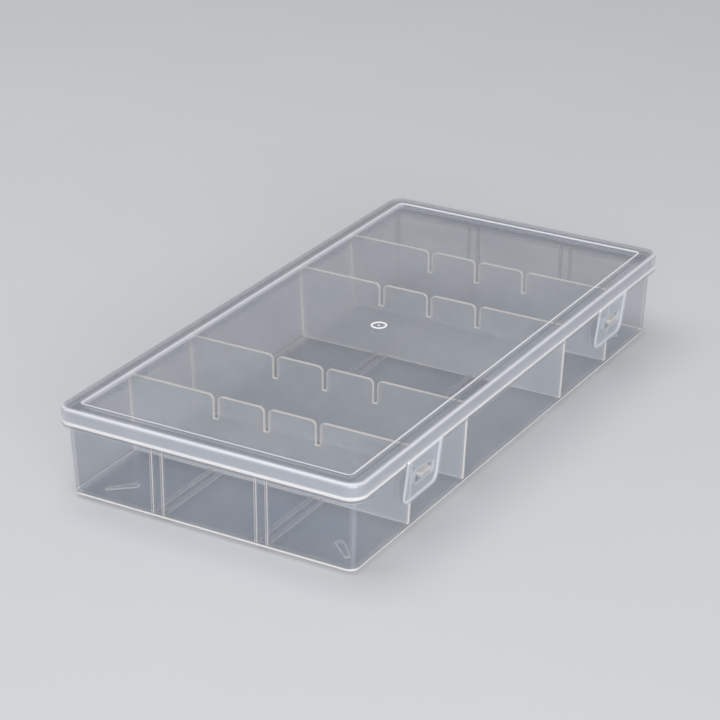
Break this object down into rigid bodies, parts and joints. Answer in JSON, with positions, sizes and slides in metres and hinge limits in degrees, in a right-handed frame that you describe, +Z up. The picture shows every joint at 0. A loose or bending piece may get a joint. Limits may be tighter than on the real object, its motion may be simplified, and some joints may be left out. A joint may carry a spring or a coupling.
{
  "type": "compartment storage box",
  "caption": "Low clear plastic compartment box with a hinged lid, front latches, slotted cross walls and rails for dividers.",
  "frame": {"origin": "on the resting plane, under the middle of the feet", "axes": "+X along the length to the right as seen from the latches, -Y towards the latches, +Y towards the hinge, +Z up"},
  "size_m": [0.23, 0.1211, 0.0338],
  "materials": {
    "tray": "gloss",
    "lid": "gloss",
    "latch": "gloss"
  },
  "bodies": {
    "base": {"base_tray": "tray", "cross_wall_1": "tray", "cross_wall_2": "tray", "cross_wall_3": "tray", "cross_wall_4": "tray", "end_rail_front_left": "tray", "end_rail_front_right": "tray", "end_rail_rear_left": "tray", "end_rail_rear_right": "tray", "floor_rail_front_1": "tray", "floor_rail_front_2": "tray", "floor_rail_front_3": "tray", "floor_rail_front_4": "tray", "floor_rail_front_5": "tray", "floor_rail_rear_1": "tray", "floor_rail_rear_2": "tray", "floor_rail_rear_3": "tray", "floor_rail_rear_4": "tray", "floor_rail_rear_5": "tray", "foot_front_left": "tray", "foot_front_right": "tray", "foot_rear_left": "tray", "foot_rear_right": "tray", "hinge_ear_left_1": "tray", "hinge_ear_left_2": "tray", "hinge_ear_right_1": "tray", "hinge_ear_right_2": "tray", "hinge_pin_left": "tray", "hinge_pin_right": "tray", "latch_catch_left": "tray", "latch_catch_right": "tray"},
    "lid": {"hinge_barrel_left": "lid", "hinge_barrel_right": "lid", "lid_shell": "lid"},
    "latch_left": {"latch_flap_left": "latch"},
    "latch_right": {"latch_flap_right": "latch"}
  },
  "joints": [
    {"name": "lid_hinge", "type": "hinge", "parent": "base", "child": "lid", "pos_m": [0, 0.06025, 0.0274], "axis": [-1, 0, 0], "range_deg": [0, 180]},
    {"name": "latch_left_hinge", "type": "hinge", "parent": "lid", "child": "latch_left", "pos_m": [-0.072, -0.05875, 0.0282], "axis": [-1, 0, 0], "range_deg": [0, 120]},
    {"name": "latch_right_hinge", "type": "hinge", "parent": "lid", "child": "latch_right", "pos_m": [0.072, -0.05875, 0.0282], "axis": [-1, 0, 0], "range_deg": [0, 120]}
  ]
}
